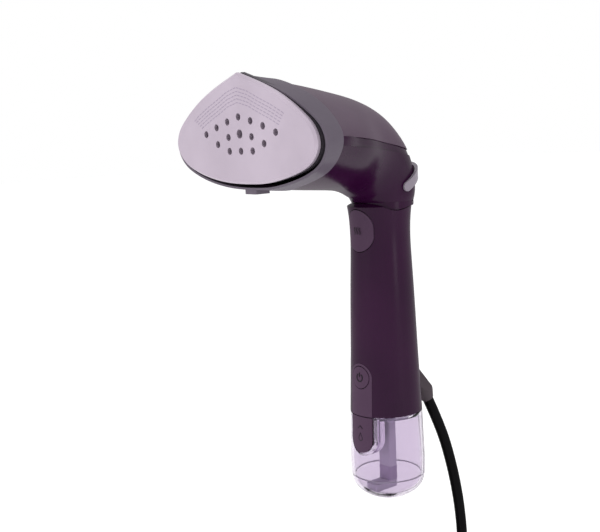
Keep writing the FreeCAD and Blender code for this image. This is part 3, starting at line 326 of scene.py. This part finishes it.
def make_cord(materials):
    route = CORD_DROP + coil_points() + CORD_TAIL
    curve = bpy.data.curves.new("mains_lead", "CURVE")
    curve.dimensions = "3D"
    curve.bevel_depth = CORD_RADIUS
    curve.bevel_resolution = 6
    curve.resolution_u = 4
    curve.use_fill_caps = True
    line = curve.splines.new("NURBS")
    line.points.add(len(route) - 1)
    for point, place in zip(line.points, route):
        point.co = (*(Vector(place) * MM), 1.0)
    line.order_u = 3
    line.use_endpoint_u = True
    curve.materials.append(materials["cord_black"])
    cord = add_object("mains_lead", curve, "handle")
    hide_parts("cord_drop", "cord_coil", "cord_tail")


# ---- marks on the plate --------------------------------------------------------------------

PLATE_ORIGIN = Vector((0, -99.47, 116.76))
PLATE_ANGLE = math.radians(92.42)
PLATE_UP = Vector((0, math.cos(PLATE_ANGLE), math.sin(PLATE_ANGLE)))
PLATE_OUT = Vector((0, -math.sin(PLATE_ANGLE), math.cos(PLATE_ANGLE)))
PLATE_TOP_EDGE = [(0.0, 22.6), (8.5, 20.6), (17.0, 17.0), (26.5, 13.3), (36.0, 9.0), (43.0, 4.6)]
MARK_INSETS = (7.6, 9.5, 11.4, 13.3, 15.2)
MARK_REACH = 40.0
DASH = 1.9
DASH_GAP = 0.8
MARK_HALF_WIDTH = 0.24
MARK_HEIGHT = 0.07
MARK_ROOT = 0.05
MARK_STEP_IN = 1.6


def edge_height(x):
    for (x0, v0), (x1, v1) in zip(PLATE_TOP_EDGE, PLATE_TOP_EDGE[1:]):
        if x0 <= abs(x) <= x1:
            share = (abs(x) - x0) / (x1 - x0)
            return v0 + (v1 - v0) * share
    return PLATE_TOP_EDGE[-1][1]


def plate_point(x, v):
    return (PLATE_ORIGIN + Vector((x, 0, 0)) + PLATE_UP * v) * MM


def make_plate_marks(materials):
    """Fine dashed lines in relief below the tip, along the plate's edge."""
    builder = Builder()
    for row, inset in enumerate(MARK_INSETS):
        reach = MARK_REACH - MARK_STEP_IN * row
        x = -reach
        while x < reach - DASH:
            spots = [x, x + DASH / 2, x + DASH]
            flat = [Vector((s, edge_height(s) - inset)) for s in spots]
            along = (flat[-1] - flat[0]).normalized()
            side = Vector((-along.y, 0, 0)) + PLATE_UP * along.x
            builder.ribbon([plate_point(p.x, p.y) for p in flat], [side] * 3, [PLATE_OUT] * 3,
                           MARK_HALF_WIDTH * MM, MARK_HEIGHT * MM, MARK_ROOT * MM)
            x += DASH + DASH_GAP
    marks = mesh_piece("plate_marks", "head", builder.vertices, builder.faces, materials["emboss"])


# ---- signs on the controls -----------------------------------------------------------------

SIGN_DEPTH = 0.12 * MM
SIGN_HEIGHT = 0.06 * MM
BOLD = 0.34
FINE = 0.22
ARROW = 0.24


class RoundSurface:
    """The front of an upright round body, taken from the box of one of its nodes."""

    def __init__(self, node, share, sink=0.0):
        """share: height of the middle within the box; sink: how far the surface lies inside it."""
        low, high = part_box(node)
        self.radius = -low.y - sink
        self.z = low.z + (high.z - low.z) * share

    def point(self, x, z):
        return Vector((x, -math.sqrt(self.radius ** 2 - x * x), self.z + z))

    def out(self, x):
        return Vector((x, -math.sqrt(self.radius ** 2 - x * x), 0)).normalized()


def sign(builder, surface, flat, half_width, closed=False):
    """Line through flat points (x, z) in millimetres, laid on the surface."""
    spots = [Vector(p) * MM for p in flat]
    count = len(spots)
    centres, sides, outs = [], [], []
    for i, spot in enumerate(spots):
        before = spots[i - 1] if i > 0 or closed else spots[0]
        after = spots[(i + 1) % count] if i < count - 1 or closed else spots[-1]
        along = (after - before).normalized()
        out = surface.out(spot.x)
        tangent = Vector((along.x, 0, along.y))
        tangent -= out * tangent.dot(out)
        centres.append(surface.point(spot.x, spot.y))
        sides.append(out.cross(tangent).normalized())
        outs.append(out)
    builder.ribbon(centres, sides, outs, half_width * MM, SIGN_HEIGHT, SIGN_DEPTH, closed)


def arc(centre, radius, start, stop, steps):
    points = []
    for i in range(steps + 1):
        angle = math.radians(start + (stop - start) * i / steps)
        points.append((centre[0] + radius * math.cos(angle), centre[1] + radius * math.sin(angle)))
    return points


def make_power_sign(materials):
    surface = RoundSurface("power_button", 0.5)
    builder = Builder()
    sign(builder, surface, arc((0, 0), 2.3, 125, 415, 28), BOLD)
    sign(builder, surface, [(0, 0.4), (0, 1.6), (0, 3.0)], BOLD)
    ring = mesh_piece("power_sign", "button", builder.vertices, builder.faces, materials["ink_dark"])


def make_steam_sign(materials):
    surface = RoundSurface("steam_trigger", 0.5, sink=0.35 * MM)
    builder = Builder()
    for x in (-2.0, 0.0, 2.0):
        wave = [(x + 0.45 * math.sin(i * math.pi / 4), -2.0 + 0.5 * i) for i in range(9)]
        sign(builder, surface, wave, FINE)
    waves = mesh_piece("steam_sign", "trigger", builder.vertices, builder.faces, materials["ink_dark"])


def make_latch_signs(materials):
    surface = RoundSurface("tank_latch", 0.45, sink=0.22 * MM)
    builder = Builder()
    drop = arc((0, -1.0), 1.5, -205, 25, 16)
    sign(builder, surface, drop + [(0.0, 2.2)], FINE, closed=True)
    sign(builder, surface, [(-1.8, 5.0), (0, 6.6), (1.8, 5.0)], ARROW)
    signs = mesh_piece("latch_signs", "latch", builder.vertices, builder.faces, materials["ink_dark"])


# ---- inside of the tank --------------------------------------------------------------------

WELD_Z = -100.0
WELD_RADIUS = 20.35
WELD_PROUD = 0.5
WELD_SEGMENTS = 96
# The thin shell that carries the painted shade on the lower suction column.
SHADE_SHELL_GROWTH = 0.12
SHADE_SHELL_CORNER = 1.3
SHADE_SHELL_RISE = 4.5


def ring_mesh(section, segments):
    """Vertices and faces of a ring turned about Z from a closed section of (radius, z)."""
    vertices, faces = [], []
    size = len(section)
    for i in range(segments):
        angle = 2 * math.pi * i / segments
        for radius, z in section:
            vertices.append(Vector((radius * math.cos(angle), radius * math.sin(angle), z)) * MM)
    for i in range(segments):
        a, b = i * size, ((i + 1) % segments) * size
        for k in range(size):
            n = (k + 1) % size
            faces.append((a + k, b + k, b + n, a + n))
    return vertices, faces


def make_tank_rib(materials):
    """The welding rib inside the tank wall, above the moulded bottom."""
    crest = WELD_RADIUS - WELD_PROUD
    section = [(WELD_RADIUS, WELD_Z - 0.35), (WELD_RADIUS, WELD_Z + 0.35),
               (crest, WELD_Z + 0.25), (crest, WELD_Z - 0.25)]
    vertices, faces = ring_mesh(section, WELD_SEGMENTS)
    rib = mesh_piece("tank_rib", "tank", vertices, faces, materials["rib_plastic"], smooth=True)


def make_column_shade_shell(materials):
    """A thin shell over the lower part of the suction column, down to its foot, in a darker copy of the
    column plastic: painted shade below the tank's weld rib.
    """
    low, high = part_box("suction_column")
    grow = SHADE_SHELL_GROWTH * MM
    corner = SHADE_SHELL_CORNER * MM
    bottom, top = low.z + 0.2 * MM, WELD_Z * MM + SHADE_SHELL_RISE * MM
    outline = []
    half_x, half_y = high.x + grow, high.y + grow
    for centre_x, centre_y, start in ((1, 1, 0), (-1, 1, 90), (-1, -1, 180), (1, -1, 270)):
        middle = (centre_x * (half_x - corner), centre_y * (half_y - corner))
        outline += arc(middle, corner, start, start + 90, 5)
    levels = [(bottom, 0.98), (bottom + 0.3 * MM, 1.0), (top - 0.4 * MM, 1.0), (top, 0.95)]
    vertices, faces = [], []
    for z, scale in levels:
        vertices += [Vector((x * scale, y * scale, z)) for x, y in outline]
    count = len(outline)
    for level in range(len(levels) - 1):
        for k in range(count):
            n = (k + 1) % count
            a, b = level * count, (level + 1) * count
            faces.append((a + k, a + n, b + n, b + k))
    faces.append(tuple(range(count))[::-1])
    faces.append(tuple(range((len(levels) - 1) * count, len(levels) * count)))
    shade_shell = mesh_piece("column_shade_shell", "tank", vertices, faces, materials["column_painted_shade"])


# ---- floor, backdrop and light -------------------------------------------------------------

FLOOR_HALF = 6.0
FLOOR_GAP = 0.0002
FLOOR_GLOW = 0.14
LIT_POINT = Vector((0, 0, 0.02))

# Name, place, width and height, and power of each soft light.
LIGHTS = [("key", (-0.25, -0.95, 0.45), (0.7, 0.9), 2.6),
          ("side", (0.95, 0.15, 0.35), (0.25, 0.9), 1.6),
          ("top", (0.0, 0.0, 1.1), (0.9, 0.9), 1.4)]

WORLD_COLOUR = (1.0, 1.0, 1.0)
WORLD_STRENGTH = 1.0
DARK_STRENGTH = 0.7
DARK_SIDE = (0.85, 0.5, -0.15)
DARK_FROM = 0.1
DARK_TO = 0.9


def make_floor():
    material, principled = shader("floor_paper")
    tint = ramp(material, noise(material, 3), [(0.3, (0.96, 0.96, 0.965)), (0.7, (0.99, 0.99, 0.99))])
    material.node_tree.links.new(tint, principled.inputs["Base Color"])
    principled.inputs["Roughness"].default_value = 0.9
    principled.inputs["Emission Color"].default_value = (1, 1, 1, 1)
    principled.inputs["Emission Strength"].default_value = FLOOR_GLOW
    data = bpy.data.meshes.new("floor")
    corners = [(-1, -1), (1, -1), (1, 1), (-1, 1)]
    level = FLOOR_Z - FLOOR_GAP
    data.from_pydata([(x * FLOOR_HALF, y * FLOOR_HALF, level) for x, y in corners], [],
                     [(0, 1, 2, 3)])
    data.materials.append(material)
    floor = bpy.data.objects.new("floor", data)
    bpy.context.scene.collection.objects.link(floor)


def area_light(name, place, size, power):
    data = bpy.data.lights.new(name, "AREA")
    data.shape = "RECTANGLE"
    data.size, data.size_y = size
    data.energy = power
    lamp = bpy.data.objects.new(name, data)
    bpy.context.scene.collection.objects.link(lamp)
    lamp.location = place
    lamp.rotation_mode = "QUATERNION"
    lamp.rotation_quaternion = (Vector(place) - LIT_POINT).to_track_quat("Z", "Y")


def make_world():
    """White studio that is a little darker towards +X and +Y."""
    world = bpy.data.worlds.new("studio")
    bpy.context.scene.world = world
    world.use_nodes = True
    tree = world.node_tree
    background = tree.nodes["Background"]
    place = tree.nodes.new("ShaderNodeTexCoord")
    facing = tree.nodes.new("ShaderNodeVectorMath")
    facing.operation = "DOT_PRODUCT"
    facing.inputs[1].default_value = DARK_SIDE
    tree.links.new(place.outputs["Generated"], facing.inputs[0])
    fall = tree.nodes.new("ShaderNodeMapRange")
    fall.inputs["From Min"].default_value = DARK_FROM
    fall.inputs["From Max"].default_value = DARK_TO
    fall.inputs["To Min"].default_value = WORLD_STRENGTH
    fall.inputs["To Max"].default_value = DARK_STRENGTH
    tree.links.new(facing.outputs["Value"], fall.inputs["Value"])
    background.inputs["Color"].default_value = (*WORLD_COLOUR, 1)
    tree.links.new(fall.outputs["Result"], background.inputs["Strength"])


def make_lights():
    for name, place, size, power in LIGHTS:
        area_light(name, place, size, power)
    bpy.context.scene.view_settings.view_transform = "Standard"


# ---- assembly ------------------------------------------------------------------------------

def paint_nodes(materials):
    for part in frame["record"]["subparts"]:
        node = NODES[part["node"]]
        node.data.materials.clear()
        node.data.materials.append(materials[part["material_slot"]])


make_camera()
MATERIALS = make_materials()
make_cord(MATERIALS)
paint_nodes(MATERIALS)
make_plate_marks(MATERIALS)
make_power_sign(MATERIALS)
make_steam_sign(MATERIALS)
make_latch_signs(MATERIALS)
make_tank_rib(MATERIALS)
make_column_shade_shell(MATERIALS)
make_floor()
make_world()
make_lights()
